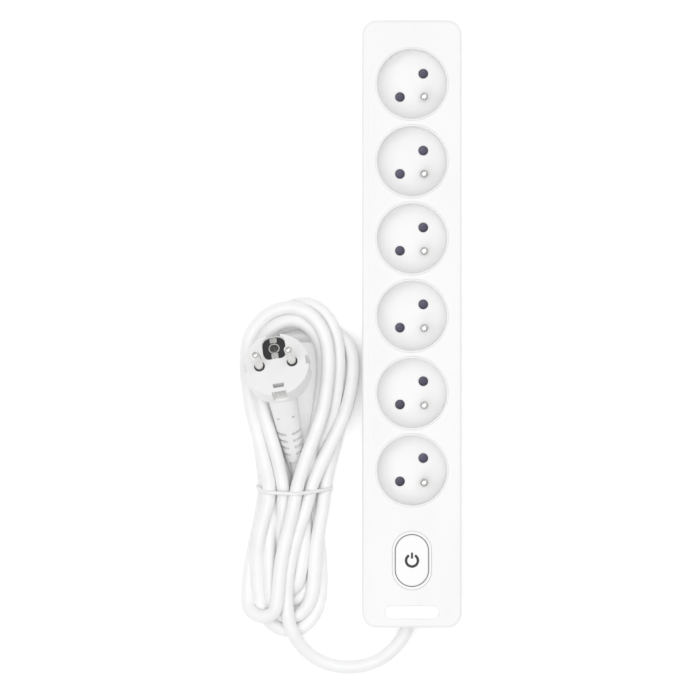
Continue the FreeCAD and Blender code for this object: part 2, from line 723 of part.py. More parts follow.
def pin_contact(side, number):
    """Three walls of a square sleeve round the pin, whose fourth wall is the busbar."""
    x = f"{side}({PIN_X} - contact_gap - leaf_thick / 2)"
    y = f"{socket_y(number)} {side or '+'} {PIN_Y}"
    leaf = block("leaf_thick", "2 * contact_gap + 2 * leaf_thick", "leaf_height", x, y, "bar_level")
    pieces = [leaf]
    for shift in ("+", "-"):
        web_y = f"{y} {shift} (contact_gap + leaf_thick / 2)"
        pieces.append(
            block("2 * contact_gap + leaf_thick", "leaf_thick", "leaf_height",
                  f"{side}({PIN_X} - leaf_thick / 2)", web_y, "bar_level")
        )
    return fuse(*pieces)


def phase_busbar(side, label):
    """A strip on edge beside its row of pins, live at +X and neutral at -X."""
    length = "(5 * pitch + bar_tail + bar_head)"
    middle = f"first_socket - bar_tail + {length} / 2"
    x = f"{side}({PIN_X} + contact_gap + bar_thick / 2)"
    strip = block("bar_thick", length, "bar_height", x, middle, "bar_level")
    node(fuse(strip, *[pin_contact(side, number) for number in SOCKETS]), label)


def earth_busbar():
    """A flat strip at one side, with a tab to each earth pin."""
    length = "(5 * pitch + earth_tail)"
    middle = f"first_socket - earth_tail + {length} / 2"
    strip = block(
        "earth_bar_width", length, "earth_bar_thick", "earth_bar_x", middle, "earth_bar_level"
    )
    inner = f"({EARTH_X} - earth_tab / 2)"
    tabs = []
    for number in SOCKETS:
        y = f"{socket_y(number)} + {EARTH_Y}"
        tabs.append(
            block(f"earth_bar_x - {inner}", "earth_tab", "earth_bar_thick",
                  f"({inner} + earth_bar_x) / 2", y, "earth_bar_level")
        )
    node(fuse(strip, *tabs), "earth_busbar")


# ---- switch ----


def button_bezel():
    """The ring round the button, with a ledge under the roof."""
    body = new_body("ring")
    inner_width = "button_width + 2 * button_gap"
    inner_length = "button_length + 2 * button_gap"
    ledge = sketch(body)
    slot(ledge, "bezel_width + 2 * bezel_ledge", "bezel_length + 2 * bezel_ledge")
    slot(ledge, inner_width, inner_length)
    pad(body, ledge, "bezel_flange")
    ring = sketch(body)
    slot(ring, "bezel_width", "bezel_length")
    slot(ring, inner_width, inner_length)
    height = "(bezel_flange + roof + bezel_proud)"
    pad(body, ring, height)
    dress(body, "Fillet", height, "bezel_round")
    node(place(body, 0, "switch_y", f"{CEILING} - bezel_flange"), "button_bezel")


def symbol_shape():
    """An open ring and an upright bar in its opening, at the button's top."""
    level = "body_top + button_proud - symbol_deep"
    height = "symbol_deep + symbol_proud"
    outer = rod("symbol_radius", height, 0, "switch_y", level)
    inner = rod("symbol_radius - symbol_stroke", height, 0, "switch_y", level)
    start = size("90 + symbol_opening / 2")
    outer.Placement.Rotation = FreeCAD.Rotation(UP, start)
    bind(outer, Angle="360 - symbol_opening")
    bar_y = "switch_y + symbol_bar_top - symbol_bar / 2"
    bar = block("symbol_bar_width", "symbol_bar", height, 0, bar_y, level)
    return fuse(cut(outer, inner), bar)


def button_cap():
    """A hollow round-ended cap, with the symbol let into its top."""
    body = new_body("cap")
    outline = sketch(body)
    slot(outline, "button_width", "button_length")
    pad(body, outline, "button_height")
    dress(body, "Fillet", "button_height", "button_round")
    hollow = sketch(body)
    slot(hollow, "button_width - 2 * button_wall", "button_length - 2 * button_wall")
    pocket(body, hollow, "button_height - button_skin", upwards=True)
    place(body, 0, "switch_y", "body_top + button_proud - button_height")
    node(cut(body, symbol_shape()), "button_cap")


def power_symbol():
    node(symbol_shape(), "power_symbol")


def switch_body():
    """An open box that holds the contacts, with a slot in its end walls for each terminal."""
    case = block("switch_width", "switch_length", "switch_height", 0, "switch_y", "switch_level")
    inside = block(
        "switch_width - 2 * switch_wall", "switch_length - 2 * switch_wall", "switch_height",
        0, "switch_y", "switch_level + switch_wall",
    )
    slots = [
        block("terminal_width + 2 * terminal_play", "2 * switch_length",
              "terminal_thick + 2 * terminal_play", x, "switch_y", "terminal_level - terminal_play")
        for x in ("bridge_x", "-bridge_x")
    ]
    node(cut(case, inside, *slots), "switch_body")


LID_UNDERSIDE = "(switch_level + switch_height)"


def switch_lid():
    lid = block("switch_width", "switch_length", "lid_thick", 0, "switch_y", LID_UNDERSIDE)
    hole = obround(
        "stem_width + 2 * stem_play", "stem_length + 2 * stem_play", "3 * lid_thick",
        0, "switch_y", f"{LID_UNDERSIDE} - lid_thick",
    )
    node(cut(lid, hole), "switch_lid")


def switch_plunger():
    """The stem under the cap, the stop plate below the lid, and the yoke for the bridges."""
    plate_level = f"({LID_UNDERSIDE} - plate_gap - plate_thick)"
    stem_top = "(body_top + button_proud - button_skin)"
    stem = obround(
        "stem_width", "stem_length", f"{stem_top} - {plate_level}", 0, "switch_y", plate_level
    )
    plate = block("plate_width", "plate_length", "plate_thick", 0, "switch_y", plate_level)
    yoke = block(
        "yoke_width", "yoke_length", f"{plate_level} - yoke_level", 0, "switch_y", "yoke_level"
    )
    node(fuse(stem, plate, yoke), "switch_plunger")


def contact_bridge():
    """Two bars under the yoke, each with a contact at either end."""
    pieces = []
    for x in ("bridge_x", "-bridge_x"):
        level = "yoke_level - bridge_thick"
        pieces.append(block("bridge_width", "bridge_length", "bridge_thick", x, "switch_y", level))
        for side in ("+", "-"):
            y = f"switch_y {side} stud_y"
            pieces.append(rod("stud_radius", "stud_height", x, y, f"{level} - stud_height"))
    node(fuse(*pieces), "contact_bridge")


def switch_terminals():
    """Four strips through the end walls, each with a fixed contact."""
    pieces = []
    length = "(terminal_outer - terminal_inner)"
    for x in ("bridge_x", "-bridge_x"):
        for side in ("+", "-"):
            middle = f"switch_y {side} (terminal_outer + terminal_inner) / 2"
            pieces.append(
                block("terminal_width", length, "terminal_thick", x, middle, "terminal_level")
            )
            top = "terminal_level + terminal_thick"
            pieces.append(rod("stud_radius", "stud_height", x, f"switch_y {side} stud_y", top))
    node(fuse(*pieces), "switch_terminals")


def switch_spring():
    """Stands on the switch's floor and lifts the yoke."""
    floor = "(switch_level + switch_wall + switch_wire + spring_play)"
    made = coil(
        "switch_coil", "switch_wire", "switch_turns",
        f"(yoke_level - switch_wire - spring_play - {floor})",
    )
    node(place(made, 0, "switch_y", floor, FreeCAD.Rotation()), "switch_spring")


# ---- lead, gland and clamp ----


def cord_gland():
    """A grommet in the end wall: collar, neck, inner flange and taper, bored for the lead."""
    outside = "(-body_length / 2)"
    inside = f"({outside} + wall)"
    taper = f"({inside} + flange_length)"
    pieces = [
        rod("collar_radius", "collar_length", 0, f"{outside} - collar_length", "cord_level", BACK),
        rod("neck_radius", "wall", 0, outside, "cord_level", BACK),
        rod("inner_flange", "flange_length", 0, inside, "cord_level", BACK),
        cone("taper_root", "taper_end", "taper_length", 0, taper, "cord_level", BACK),
    ]
    bore = cord_bore(f"{outside} - 2 * collar_length", "4 * taper_length")
    node(cut(fuse(*pieces), bore), "cord_gland")


def cable_clamp():
    """The saddle that holds the lead's sheath down on the tray's cradle."""
    saddle = block(
        "clamp_width", "clamp_length", "clamp_top - clamp_split", 0, "clamp_y", "clamp_split"
    )
    bore = cord_bore("clamp_y - clamp_length", "2 * clamp_length")
    node(cut(saddle, bore, *clamp_screw_holes("clamp_top")), "cable_clamp")


def clamp_screws():
    shank = "(clamp_top - clamp_screw_end)"
    pieces = [
        cross_screw(x, "clamp_y", "clamp_top + head_height", shank, False)
        for x in ("clamp_screw_x", "-clamp_screw_x")
    ]
    node(fuse(*pieces), "clamp_screws")


def mirrored(points):
    return [(-x, y, z) for x, y, z in points]


def cores():
    """The insulated cores: two live, two neutral and one earth."""
    routes = {
        "wires_live": [CORE_TO_SWITCH, CORE_TO_BUSBAR],
        "wires_neutral": [mirrored(CORE_TO_SWITCH), mirrored(CORE_TO_BUSBAR)],
        "wire_earth": [CORE_TO_EARTH],
    }
    for label, paths in routes.items():
        solids = [tube(points, size("core_radius"))[0] for points in paths]
        from_code(solids[0] if len(solids) == 1 else Part.makeCompound(solids), label)


def cord_lead():
    solid, length, radii = tube(LEAD_ROUTE, size("cord_radius"))
    print("lead", round(length), "mm, arc radii", [round(r) for r in radii])
    from_code(solid, "cord_lead")


# ---- hank, tie and plug ----


def tie_ring(growth, band):
    """A rounded frame that stands round the hank's waist, leaning a little."""
    outer = f"2 * ({growth})"
    body = new_body("strap")
    section = sketch(body, "XZ_Plane", f"-({band}) / 2")
    middle = "tie_height / 2 + tie_level"
    rounded_rectangle(section, f"tie_width + {outer}", f"tie_height + {outer}", "tie_corner", 0, middle)
    rounded_rectangle(
        section, "tie_width - 2 * tie_thick", "tie_height - 2 * tie_thick", "tie_corner - tie_thick",
        0, middle,
    )
    pad(body, section, band)
    lean = FreeCAD.Rotation(Vector(1, 0, 0), -size("tie_lean"))
    turn = FreeCAD.Rotation(UP, size("tie_turn"))
    return place(body, "tie_x", "tie_y", 0, turn.multiply(lean))


def hank_tie():
    node(tie_ring("0", "tie_band"), "hank_tie")


def plug_turn():
    return FreeCAD.Rotation(size("plug_yaw"), size("plug_pitch"), size("plug_roll"))


def cord_hank():
    """The outer shape of the tied turns, hollowed where the plug lies and the tie goes round."""
    plan = closed_plan([(x, y, 0) for x, y in HANK_OUTLINE])
    opening = closed_plan([(x, y, 0) for x, y in HANK_OPENING])
    height = UP * size("hank_height")
    solid = plan.extrude(height)
    rims = [e for e in solid.Edges if e.BoundBox.ZLength < 0.001]
    solid = solid.makeFillet(size("hank_edge"), rims).cut(opening.extrude(height))
    gap = size("hank_clearance")
    turn = plug_turn()
    face = Vector(size("plug_x"), size("plug_y"), size("plug_level"))
    head = Part.makeCylinder(
        size("plug_radius") + gap, size("plug_depth") + 2 * gap, Vector(0, 0, -size("plug_depth") - gap)
    )
    tail = Part.makeCone(
        size("tail_root") + gap, size("tail_end") + gap, size("tail_length"),
        Vector(0, size("tail_y"), size("tail_z")), tail_direction(),
    )
    for tool in (head, tail):
        tool.Placement = FreeCAD.Placement(face, turn).multiply(tool.Placement)
        solid = solid.cut(tool)
    groove = tie_ring("4 * tie_thick", "tie_band + 2 * tie_gap")
    doc.recompute()
    solid = solid.cut(groove.Shape)
    from_code(max(solid.Solids, key=lambda piece: piece.Volume), "cord_hank")


def on_plug(made, label):
    """Puts a piece made in the plug's own frame, pins along +Z and face at 0, on the plug."""
    return node(place(made, "plug_x", "plug_y", "plug_level", plug_turn()), label)


def tail_direction():
    angle = math.radians(size("tail_angle"))
    return Vector(0, -math.cos(angle), -math.sin(angle))


def plug_head():
    body = new_body("head")
    outline = sketch(body, level="-plug_depth")
    circle(outline, "plug_radius")
    pad(body, outline, "plug_depth")
    dress(body, "Fillet", "-plug_depth", "plug_back_round")
    dress(body, "Fillet", "0", "plug_face_round")
    return body


def plug_tail():
    """The tapered strain relief, with grooves on either side of a spine and two dimples."""
    taper = cone("tail_root", "tail_end", "tail_length")
    tools = [rod("cord_radius + cord_play", "2 * tail_bore", 0, 0, "tail_length - tail_bore")]
    for number in range(TAIL_GROOVES):
        level = f"groove_first + {number} * groove_pitch"
        tools.append(cut(
            rod("tail_root", "groove_width", 0, 0, level),
            rod("groove_core", "groove_width", 0, 0, level),
            block("groove_spine", "3 * tail_root", "groove_width", 0, 0, level),
        ))
    for side in ("", "-"):
        tools.append(
            rod("dimple_radius", "tail_root", f"{side}dimple_gap / 2", "groove_core", "dimple_at", BACK)
        )
    made = cut(taper, *tools)
    return place(made, 0, "tail_y", "tail_z", FreeCAD.Rotation(UP, tail_direction()))


def plug_body():
    """The moulded body, with bores for the pins and recesses for the earth contacts."""
    tools = [
        rod("pin_neck + plug_pin_play", "plug_pin_root", x, 0, "-plug_pin_root")
        for x in ("pin_pitch / 2", "-pin_pitch / 2")
    ]
    tools.append(rod("plug_hole_radius", "plug_hole_depth", 0, "earth_offset", "-plug_hole_depth"))
    recess = new_body("recess")
    outline = sketch(recess, level="-plug_pocket_depth")
    rounded_rectangle(outline, "plug_pocket", "plug_pocket", "plug_pocket_round", 0, "earth_offset")
    pad(recess, outline, "2 * plug_pocket_depth")
    tools.append(recess)
    for side in ("", "-"):
        middle = f"{side}(plug_radius + (notch_over - notch_depth) / 2)"
        tools.append(block("notch_width", "notch_depth + notch_over", "2 * notch_length", 0, middle,
                           "-notch_length"))
        middle = f"{side}(plug_radius + (notch_over - guide_notch_depth) / 2)"
        tools.append(block("guide_notch_depth + notch_over", "guide_notch_width", "3 * plug_depth",
                           middle, 0, "-2 * plug_depth"))
    tools.append(block("face_slot_width", "face_slot_length", "2 * face_slot_depth", 0, "face_slot_y",
                       "-face_slot_depth"))
    on_plug(cut(fuse(plug_head(), plug_tail()), *tools), "plug_body")


def plug_pins():
    """Two round pins with rounded tips, whose necks are rooted in the body."""
    pieces = []
    for x in ("pin_pitch / 2", "-pin_pitch / 2"):
        body = new_body("prong")
        root = sketch(body)
        circle(root, "pin_neck")
        pad(body, root, "plug_pin_root + pin_step")
        shank = sketch(body, level="plug_pin_root + pin_step")
        circle(shank, "plug_pin_radius")
        pad(body, shank, "plug_pin_length - pin_step")
        length = "plug_pin_root + plug_pin_length"
        dress(body, "Fillet", length, "tip_round")
        pieces.append(place(body, x, 0, "-plug_pin_root"))
    on_plug(fuse(*pieces), "plug_pins")


def plug_earth_contact():
    """The tube that takes a socket's earth pin, and a clip at either edge."""
    outer = rod("plug_hole_radius", "plug_hole_depth - plug_pocket_depth", 0, "earth_offset",
                "-plug_hole_depth")
    inner = rod("plug_hole_radius - plug_tube_wall", "plug_hole_depth", 0, "earth_offset",
                "-plug_hole_depth")
    pieces = [cut(outer, inner)]
    for side in ("", "-"):
        y = f"{side}(plug_radius - notch_depth + clip_thick / 2)"
        pieces.append(block("clip_width", "clip_thick", "clip_length", 0, y, "-notch_length"))
    on_plug(fuse(*pieces), "plug_earth_contact")


def build():
    fill_sheet()
    bottom_cover()
    top_cover()
    rubber_feet()
    cover_screws()
    badge_plate()
    for number in SOCKETS:
        socket_cup(number)
        earth_pin(number)
        shutter_guide(number)
        shutter(number)
        shutter_spring(number)
    phase_busbar("", "live_busbar")
    phase_busbar("-", "neutral_busbar")
    earth_busbar()
    button_bezel()
    button_cap()
    power_symbol()
    switch_body()
    switch_lid()
    switch_plunger()
    contact_bridge()
    switch_terminals()
    switch_spring()
    cord_gland()
    cable_clamp()
    clamp_screws()
    cores()
    cord_lead()
    hank_tie()
    cord_hank()
    plug_body()
    plug_pins()
    plug_earth_contact()
    doc.recompute()


def export():
    """Writes each sub-part, once every object is sound and every sub-part's shape is valid."""
    for item in doc.Objects:
        if {"Invalid", "Error"} & set(item.State):
            raise RuntimeError(f"{item.Label} is {item.State}")
    for item in NODES:
        if item.Shape.isNull() or not item.Shape.isValid():
            raise RuntimeError(f"{item.Label} has no valid shape")
    os.makedirs("parts", exist_ok=True)
    for item in NODES:
        item.Shape.exportStep(f"parts/{item.Label}.step")
    print(len(NODES), "sub-parts")


build()
export()
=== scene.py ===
import math

import bmesh
import bpy
import numpy as np
from mathutils import Matrix, Vector


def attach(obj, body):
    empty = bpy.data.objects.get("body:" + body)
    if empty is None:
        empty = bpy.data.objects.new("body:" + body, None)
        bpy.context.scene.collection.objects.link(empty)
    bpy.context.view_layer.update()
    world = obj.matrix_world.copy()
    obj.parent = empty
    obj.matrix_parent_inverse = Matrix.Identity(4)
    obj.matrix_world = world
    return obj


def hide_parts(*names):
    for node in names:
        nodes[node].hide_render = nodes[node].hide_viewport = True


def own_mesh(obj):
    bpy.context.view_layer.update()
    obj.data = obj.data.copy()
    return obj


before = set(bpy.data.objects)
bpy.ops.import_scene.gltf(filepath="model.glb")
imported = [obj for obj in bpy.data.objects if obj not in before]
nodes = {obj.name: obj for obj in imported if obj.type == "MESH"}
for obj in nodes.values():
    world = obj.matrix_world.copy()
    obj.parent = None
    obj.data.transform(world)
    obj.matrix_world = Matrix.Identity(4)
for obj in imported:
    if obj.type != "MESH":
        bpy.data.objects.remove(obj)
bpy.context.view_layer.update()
scene = bpy.context.scene

# ---- Camera ----
# Straight above the strip and its hank, far off with a long lens, so that nothing leans.
VIEW_CENTRE = (-0.0355, -0.0149)
VIEW_WIDTH = 0.4013
SUBJECT_LEVEL = 0.036
CAMERA_DISTANCE = 2.6
SENSOR_MM = 36

camera_data = bpy.data.cameras.new("camera")
camera_data.sensor_width = SENSOR_MM
camera_data.lens = SENSOR_MM * CAMERA_DISTANCE / VIEW_WIDTH
camera_data.clip_start = 0.1
camera_data.clip_end = 20
camera = bpy.data.objects.new("camera", camera_data)
camera.location = (*VIEW_CENTRE, SUBJECT_LEVEL + CAMERA_DISTANCE)
scene.collection.objects.link(camera)
scene.camera = camera

# ---- Lead and hank ----
# One length of round three-core flex, white PVC sheath. It leaves the end of the strip, runs
# round to the hank, makes five tied turns and ends in the plug's strain relief.
MM = 0.001
CORD_RADIUS = 3.9
LEAD_ROUTE = [
    (0, -159.5, 11), (0, -175.5, 11), (-14.5, -194, 6.5), (-36, -200.5, 4),
    (-57.5, -194.5, 5.5), (-70.5, -177.5, 11.5), (-72.5, -159, 12.5),
]
INTO_THE_HANK = [(-71.5, -143, 13), (-66.5, -124, 13), (-60.5, -106, 13)]

# The plug's place: the middle of its face, how it is turned, and the tail's root and lean.
PLUG_FACE = np.array([-78, -22.9, 37.3])
PLUG_TURN = (
    Matrix.Rotation(math.radians(9), 3, "Z")
    @ Matrix.Rotation(math.radians(-4), 3, "Y")
    @ Matrix.Rotation(math.radians(-24), 3, "X")
)
PLUG_AXES = np.array(PLUG_TURN)
HEAD_RADIUS, HEAD_DEPTH, HEAD_ROUND = 19.2, 18, 6
TAIL_LEAN = math.radians(52)
TAIL_LENGTH, TAIL_ROOT_RADIUS, TAIL_END_RADIUS = 49, 9, 6
tail_way = PLUG_AXES @ np.array([0, -math.cos(TAIL_LEAN), -math.sin(TAIL_LEAN)])
tail_root = PLUG_FACE + PLUG_AXES @ np.array([0, -8, -11])
tail_end = tail_root + TAIL_LENGTH * tail_way
BEFORE_THE_TAIL = (-65, -94, 5)
STRAIGHT_IN = 6

# Half turns of the hank in the order in which the flex makes them, tops and bottoms in turn.
# Each has X at the tie, at the near side, at the far side and at the tie again, then Y of its
# widest place and of its end, and the height on the way in, round the end and on the way out.
TIE_Y = -95
HALF_TURNS = [
    (-58.8, -32.5, -92.0, -84.9, -26, -0.5, (13, 9, 4), (4, 4, 4)),
    (-84.9, -93.8, -76.5, -66.3, -158, -169, (5, 6, 12), (13, 13, 13)),
    (-66.3, -46.8, -95.2, -81.4, -26, 10.0, (13, 15, 17), (17, 14, 13)),
    (-81.4, -88.5, -52.0, -58.0, -150, -178.5, (11, 5, 4), (4, 5, 5)),
    (-58.0, -40.3, -85.0, -77.9, -26, 12.5, (6, 8, 8), (8, 6, 5)),
    (-77.9, -83.0, -57.0, -50.5, -150, -170, (5, 4, 6), (11, 12, 12)),
    (-50.5, -37.5, -86.5, -71.0, -26, -4.0, (8, 4, 4), (4, 4, 5)),
    (-71.0, -86.0, -61.0, -67.8, -148, -160, (5, 4, 4), (4, 5, 6)),
    (-67.8, -49.9, -87.4, -73.9, -26, 3.0, (6, 10, 11), (11, 12, 13)),
    (-73.9, -81.0, -63.5, -64.5, -143, -155, (10, 6, 4), (4, 8, 5)),
]
SIDE_STATIONS = (0.2, 0.42, 0.7)
END_POINTS = 5
END_FULLNESS = 1.03
END_SQUARENESS = 0.94


def swing(share):
    """How far a strand has gone sideways, part of the way from the tie to its widest place."""
    turn = math.pi * share
    return (math.sin(turn / 2) + (1 - math.cos(turn)) / 2) / 2


def half_turn(tie_in, side_in, side_out, tie_out, wide_y, end_y, levels_in, levels_out):
    """The points of one end loop of the hank, from the tie out, round and back towards it."""
    points = []
    for share in (0, *SIDE_STATIONS):
        x = tie_in + (side_in - tie_in) * swing(share)
        z = levels_in[0] + (levels_in[1] - levels_in[0]) * share
        points.append((x, TIE_Y + (wide_y - TIE_Y) * share, z))
    middle = (side_in + side_out) / 2
    half_width = (side_in - side_out) / 2 * END_FULLNESS
    depth = (end_y - wide_y) * END_FULLNESS
    for number in range(END_POINTS):
        angle = math.pi * (number + 0.5) / END_POINTS
        across = math.copysign(abs(math.cos(angle)) ** END_SQUARENESS, math.cos(angle))
        share = number / (END_POINTS - 1)
        z = np.interp(share, (0, 0.5, 1), (levels_in[1], levels_in[2], levels_out[0]))
        y = wide_y + depth * math.sin(angle) ** END_SQUARENESS
        points.append((middle + half_width * across, y, z))
    for share in reversed(SIDE_STATIONS):
        x = tie_out + (side_out - tie_out) * swing(share)
        z = levels_out[2] + (levels_out[1] - levels_out[2]) * share
        points.append((x, TIE_Y + (wide_y - TIE_Y) * share, z))
    return points


route = LEAD_ROUTE + INTO_THE_HANK
for turn in HALF_TURNS:
    route = route + half_turn(*turn)
into_the_tail = [tail_end + STRAIGHT_IN * tail_way, tail_end - STRAIGHT_IN * tail_way]
route = np.array([*route, BEFORE_THE_TAIL, *into_the_tail])

# Where the flex lies on itself it has to settle: beads along its line push each other apart,
# mostly upwards, the floor and the plug push back, and its own stiffness evens out the rise.
BEADS_PER_POINT = 3
SETTLE_STEPS = 260
SKIN = 0.97
SIDEWAYS = np.array([0.35, 0.35, 1.0])
PUSH, PLUG_PUSH, LONGEST_MOVE = 1.2, 0.6, 1.2
WEIGHT, EVENING, MEMORY = 0.02, 0.12, 0.03
FLOOR_GAP = 0.02
BEADS_IN_THE_TAIL = 8
ABOVE_THE_FACE = 2


def bead_weights(count):
    """How much of each point there is in each bead of the quadratic spline through them."""
    rows = []
    for middle in range(1, count - 1):
        for step in range(BEADS_PER_POINT):
            part = step / BEADS_PER_POINT
            row = np.zeros(count)
            row[middle - 1] = (1 - part) ** 2 / 2
            row[middle] = (1 + 2 * part - 2 * part**2) / 2
            row[middle + 1] = part**2 / 2
            rows.append(row)
    return np.array(rows)


def off_the_plug(beads):
    """The push that takes each bead out of the plug's head and tail."""
    local = (beads - PLUG_FACE) @ PLUG_AXES
    out = np.hypot(local[:, 0], local[:, 1])
    beyond_side = np.maximum(out - (HEAD_RADIUS - HEAD_ROUND), 0)
    beyond_back = np.maximum(-(HEAD_DEPTH - HEAD_ROUND) - local[:, 2], 0)
    gap = np.hypot(beyond_side, beyond_back) - HEAD_ROUND
    outward = local * np.array([1, 1, 0]) / np.maximum(out, 1e-6)[:, None]
    away = outward * beyond_side[:, None] - np.array([0, 0, 1]) * (beyond_back + 1e-3)[:, None]
    away /= np.linalg.norm(away, axis=1)[:, None]
    need = np.where(local[:, 2] < ABOVE_THE_FACE, np.maximum(CORD_RADIUS - gap, 0), 0)
    push = (away * need[:, None]) @ PLUG_AXES.T
    along = np.clip((beads - tail_root) @ tail_way, 0, TAIL_LENGTH)
    offset = beads - tail_root - along[:, None] * tail_way
    distance = np.maximum(np.linalg.norm(offset, axis=1), 1e-6)
    taper = (TAIL_ROOT_RADIUS - TAIL_END_RADIUS) / TAIL_LENGTH
    short = np.maximum(TAIL_ROOT_RADIUS - taper * along + CORD_RADIUS - distance, 0)
    short[-BEADS_IN_THE_TAIL:] = 0
    return push + offset / distance[:, None] * short[:, None]


def settle(points):
    """The route's points and its beads once the flex lies on the table and on itself."""
    start = points.copy()
    weights = bead_weights(len(points))
    spread = weights.T / weights.sum(0).clip(1e-9)[:, None]
    held = np.zeros(len(points), bool)
    held[: len(LEAD_ROUTE)] = True
    held[-2:] = True
    reach = 2 * CORD_RADIUS * SKIN
    for _ in range(SETTLE_STEPS):
        beads = weights @ points
        along = np.concatenate([[0], np.cumsum(np.linalg.norm(np.diff(beads, axis=0), axis=1))])
        apart = beads[:, None] - beads[None]
        distance = np.linalg.norm(apart, axis=2)
        touching = (distance < reach) & (np.abs(along[:, None] - along[None]) > 5 * CORD_RADIUS)
        need = np.where(touching, (reach - distance) / 2, 0) / distance.clip(1e-6)
        move = (apart * need[:, :, None]).sum(1) * SIDEWAYS
        move /= np.sqrt(touching.sum(1).clip(1))[:, None]
        move += PLUG_PUSH * off_the_plug(beads)
        move[:, 2] += np.maximum(CORD_RADIUS - beads[:, 2], 0) - WEIGHT
        step = PUSH * (spread @ move)
        sag = (points[:-2, 2] + points[2:, 2]) / 2 - points[1:-1, 2]
        step[1:-1, 2] += EVENING * sag
        step[:, :2] += MEMORY * (start - points)[:, :2]
        step[held] = 0
        points = points + step.clip(-LONGEST_MOVE, LONGEST_MOVE)
    points[:, 2] = points[:, 2].clip(CORD_RADIUS + FLOOR_GAP)
    return points, weights @ points


points, beads = settle(route)

cord_curve = bpy.data.curves.new("flex", "CURVE")
cord_curve.dimensions = "3D"
cord_curve.bevel_depth = 1
cord_curve.bevel_resolution = 6
cord_curve.resolution_u = 6
cord_curve.use_fill_caps = True
spline = cord_curve.splines.new("NURBS")
spline.points.add(len(points) - 1)
for point, place in zip(spline.points, points):
    point.co = (*(place * MM), 1)
    point.radius = CORD_RADIUS * MM
spline.order_u = 3
spline.use_endpoint_u = True
flex = bpy.data.objects.new("flex", cord_curve)
scene.collection.objects.link(flex)
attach(flex, "housing")
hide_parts("cord_lead", "cord_hank")

# ---- Flex sheath ----
# Soft white PVC, drawn over the twisted cores, so a slow twist just shows through it.


class Value:
    """A socket that takes part in sums. Each operator adds its own Math node."""

    def __init__(self, finish, socket):
        self.finish = finish
        self.socket = socket

    def math(self, operation, *others):
        return self.finish.add("ShaderNodeMath", {"operation": operation}, [self, *others])

    def __add__(self, other):
        return self.math("ADD", other)

    def __mul__(self, other):
        return self.math("MULTIPLY", other)

    __radd__ = __add__
    __rmul__ = __mul__

    def step(self, low, high):
        """0 below low, 1 above high, and smooth between them."""
        settings = {"interpolation_type": "SMOOTHSTEP"}
        inputs = {"Value": self, "From Min": low, "From Max": high}
        return self.finish.add("ShaderNodeMapRange", settings, inputs)


class Finish:
    """One material. add() makes any node from its type, its settings and its inputs."""

    def __init__(self, name, base, roughness, metallic=0.0, **fixed):
        self.material = bpy.data.materials.new(name)
        self.material.use_nodes = True
        self.tree = self.material.node_tree
        self.shader = self.tree.nodes["Principled BSDF"]
        self.place = Value(self, self.tree.nodes.new("ShaderNodeTexCoord").outputs["Object"])
        self.base = base
        self.bumps = []
        self.set("Base Color", (*base, 1))
        self.set("Roughness", roughness)
        self.set("Metallic", metallic)
        for socket, value in fixed.items():
            self.set(socket.replace("_", " "), value)

    def feed(self, socket, value):
        if isinstance(value, Value):
            self.tree.links.new(value.socket, socket)
        else:
            socket.default_value = value

    def set(self, name, value):
        self.feed(self.shader.inputs[name], value)
        return self

    def add(self, kind, settings, inputs, output=0):
        made = self.tree.nodes.new(kind)
        for name, value in settings.items():
            setattr(made, name, value)
        pairs = inputs.items() if isinstance(inputs, dict) else enumerate(inputs)
        for key, value in pairs:
            self.feed(made.inputs[key], value)
        return Value(self, made.outputs[output])

    def noise(self, per_metre, detail=3.0, stretch=(1, 1, 1)):
        where = self.add("ShaderNodeVectorMath", {"operation": "MULTIPLY"}, [self.place, stretch])
        inputs = {"Vector": where, "Scale": per_metre, "Detail": detail}
        return self.add("ShaderNodeTexNoise", {}, inputs)

    def tint(self, mask, colour, over=None):
        """A colour laid over another, as far as the mask says."""
        below = over or (*self.base, 1)
        inputs = {0: mask, 6: below, 7: (*colour, 1)}
        return self.add("ShaderNodeMix", {"data_type": "RGBA"}, inputs, 2)

    def bump(self, height, depth):
        """Relief of that depth in metres, over whatever relief there is already."""
        self.bumps.append((height, depth))
        inputs = {"Height": height, "Distance": depth, "Strength": 1.0}
        if len(self.bumps) > 1:
            inputs["Normal"] = self.normal
        self.normal = self.add("ShaderNodeBump", {}, inputs)
        return self.set("Normal", self.normal)


def dress(finish, *objects):
    for dressed in objects:
        dressed.data.materials.clear()
        dressed.data.materials.append(finish.material)


def moulded(name, base, roughness, grain, grain_depth, shade=0.985, **fixed):
    """Injection-moulded plastic: spark-eroded grain, faint flow marks and uneven gloss."""
    made = Finish(name, base, roughness, **fixed)
    flow = made.noise(45, 2.0, (1, 0.35, 1))
    specks = made.noise(grain, 2.0)
    worn = made.noise(260, 4.0)
    deep = tuple(part * shade for part in base)
    made.set("Base Color", made.tint(flow.step(0.35, 0.7), deep))
    made.set("Roughness", worn.step(0.3, 0.75) * 0.09 + (roughness - 0.045))
    made.bump(specks, grain_depth)
    made.bump(flow, grain_depth * 6)
    return made


sheath = Finish("flex sheath", (0.93, 0.93, 0.93), 0.4)
twist = sheath.noise(70, 2.0)
scuff = sheath.noise(420, 4.0)
sheath.set("Base Color", sheath.tint(twist.step(0.35, 0.75), (0.9, 0.9, 0.9)))
sheath.set("Roughness", scuff.step(0.4, 0.7) * 0.12 + 0.33)
sheath.bump(twist, 0.0004)
sheath.bump(sheath.noise(1500, 2.0), 0.00002)
dress(sheath, flex)
dress(sheath, nodes["cord_lead"], nodes["cord_hank"])

# ---- Strap round the hank ----
# A thin white nylon strap drawn tight round the waist of the hank, its ends welded at a side.
STRAP_LEAN = math.radians(12)
STRAP_BAND = 2.2
STRAP_THICK = 0.9
STRAP_Z = 9.0
STRAP_STATIONS = 160
CORD_SIDES = 24


